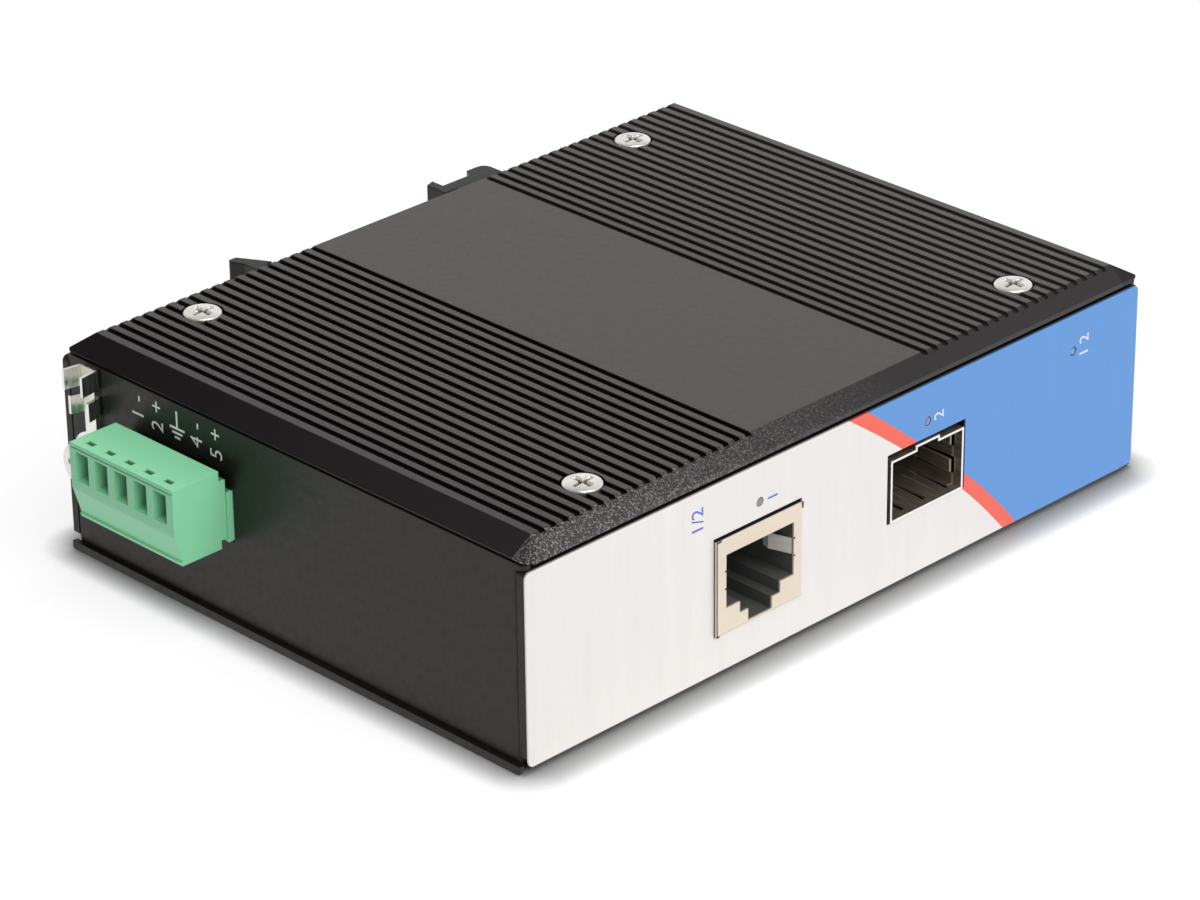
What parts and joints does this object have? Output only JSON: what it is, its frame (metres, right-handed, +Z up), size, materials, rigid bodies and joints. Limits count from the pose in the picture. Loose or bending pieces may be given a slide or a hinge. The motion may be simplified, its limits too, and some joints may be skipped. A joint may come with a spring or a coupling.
{
  "type": "fibre media converter",
  "caption": "Fibre media converter for a rail: ribbed black case lying on its base, copper network jack, optical module cage, green pluggable power terminals, earth lug and sprung rail clip.",
  "frame": {"origin": "middle of the base plate's underside, midway between the cover's long edges", "axes": "+X along the case away from the power terminals, -Y out of the port side, +Y out of the rail side, +Z up through the ribbed cover"},
  "size_m": [0.1238, 0.0957, 0.0309],
  "materials": {
    "case_black": "satin powder coat",
    "cover_black": "black anodised, satin",
    "port_label": "printed overlay in silver and blue fields",
    "zinc_steel": "zinc plated",
    "bright_screw": "nickel plated",
    "nickel_shell": "nickel plated sheet",
    "port_black": "moulded",
    "contact_gold": "gold flashed",
    "lamp_lens": "clear moulded lens",
    "board_green": "solder mask",
    "chip_black": "moulded package",
    "pad_grey": "soft filled silicone",
    "crystal_can": "pressed can",
    "ferrite": "ferrite",
    "capacitor_sleeve": "shrunk sleeve",
    "fuse_body": "ceramic tube",
    "terminal_green": "moulded polyamide",
    "lug_tin": "tin plated",
    "clip_black": "moulded polyamide"
  },
  "bodies": {
    "case": {"chassis_shell": "case_black", "left_end_wall": "case_black", "right_end_wall": "case_black", "heatsink_cover": "cover_black", "front_label": "port_label", "cover_screws": "bright_screw", "lower_standoffs": "zinc_steel", "upper_standoffs": "zinc_steel", "jack_shield": "nickel_shell", "jack_insulator": "port_black", "jack_contacts": "contact_gold", "optics_cage": "nickel_shell", "optics_host_connector": "port_black", "lamp_link_1": "lamp_lens", "lamp_link_2": "lamp_lens", "lamp_power": "lamp_lens", "circuit_board": "board_green", "switch_chip": "chip_black", "thermal_pad": "pad_grey", "optics_driver": "chip_black", "crystal": "crystal_can", "inductor": "ferrite", "transformer_module": "chip_black", "electrolytic_capacitors": "capacitor_sleeve", "fuse": "fuse_body", "terminal_header": "terminal_green", "terminal_pins": "contact_gold", "earth_lug": "lug_tin", "earth_washer": "bright_screw", "earth_screw": "bright_screw", "earth_nut": "zinc_steel", "rail_clip_body": "clip_black", "rail_clip_spring": "zinc_steel", "rail_clip_screws": "zinc_steel"},
    "plug": {"terminal_plug": "terminal_green", "plug_contacts": "contact_gold"},
    "latch": {"rail_clip_latch": "clip_black"},
    "clamp_screw_1": {"clamp_screw_1": "zinc_steel"},
    "clamp_cage_1": {"clamp_cage_1": "zinc_steel"},
    "clamp_screw_2": {"clamp_screw_2": "zinc_steel"},
    "clamp_cage_2": {"clamp_cage_2": "zinc_steel"},
    "clamp_screw_3": {"clamp_screw_3": "zinc_steel"},
    "clamp_cage_3": {"clamp_cage_3": "zinc_steel"},
    "clamp_screw_4": {"clamp_screw_4": "zinc_steel"},
    "clamp_cage_4": {"clamp_cage_4": "zinc_steel"},
    "clamp_screw_5": {"clamp_screw_5": "zinc_steel"},
    "clamp_cage_5": {"clamp_cage_5": "zinc_steel"}
  },
  "joints": [
    {"name": "plug_slide", "type": "slide", "parent": "case", "child": "plug", "axis": [-1, 0, 0], "range_m": [0, 0.009]},
    {"name": "rail_latch_slide", "type": "slide", "parent": "case", "child": "latch", "axis": [-1, 0, 0], "range_m": [0, 0.003], "stiffness_N_per_m": 1500, "springref_m": -0.003, "deforming": ["rail_clip_spring"]},
    {"name": "clamp_screw_turn_1", "type": "hinge", "parent": "plug", "child": "clamp_screw_1", "pos_m": [-0.06235, 0.01313, 0.0141], "axis": [0, 0, 1], "range_deg": [0, 1440]},
    {"name": "clamp_cage_rise_1", "type": "slide", "parent": "plug", "child": "clamp_cage_1", "axis": [0, 0, -1], "range_m": [0, 0.0016]},
    {"name": "clamp_screw_turn_2", "type": "hinge", "parent": "plug", "child": "clamp_screw_2", "pos_m": [-0.06235, 0.01694, 0.0141], "axis": [0, 0, 1], "range_deg": [0, 1440]},
    {"name": "clamp_cage_rise_2", "type": "slide", "parent": "plug", "child": "clamp_cage_2", "axis": [0, 0, -1], "range_m": [0, 0.0016]},
    {"name": "clamp_screw_turn_3", "type": "hinge", "parent": "plug", "child": "clamp_screw_3", "pos_m": [-0.06235, 0.02075, 0.0141], "axis": [0, 0, 1], "range_deg": [0, 1440]},
    {"name": "clamp_cage_rise_3", "type": "slide", "parent": "plug", "child": "clamp_cage_3", "axis": [0, 0, -1], "range_m": [0, 0.0016]},
    {"name": "clamp_screw_turn_4", "type": "hinge", "parent": "plug", "child": "clamp_screw_4", "pos_m": [-0.06235, 0.02456, 0.0141], "axis": [0, 0, 1], "range_deg": [0, 1440]},
    {"name": "clamp_cage_rise_4", "type": "slide", "parent": "plug", "child": "clamp_cage_4", "axis": [0, 0, -1], "range_m": [0, 0.0016]},
    {"name": "clamp_screw_turn_5", "type": "hinge", "parent": "plug", "child": "clamp_screw_5", "pos_m": [-0.06235, 0.02837, 0.0141], "axis": [0, 0, 1], "range_deg": [0, 1440]},
    {"name": "clamp_cage_rise_5", "type": "slide", "parent": "plug", "child": "clamp_cage_5", "axis": [0, 0, -1], "range_m": [0, 0.0016]}
  ],
  "couplings": [
    {"joint": "clamp_screw_turn_1", "follows": "clamp_cage_rise_1", "rad_per_m": 15708},
    {"joint": "clamp_screw_turn_2", "follows": "clamp_cage_rise_2", "rad_per_m": 15708},
    {"joint": "clamp_screw_turn_3", "follows": "clamp_cage_rise_3", "rad_per_m": 15708},
    {"joint": "clamp_screw_turn_4", "follows": "clamp_cage_rise_4", "rad_per_m": 15708},
    {"joint": "clamp_screw_turn_5", "follows": "clamp_cage_rise_5", "rad_per_m": 15708}
  ]
}
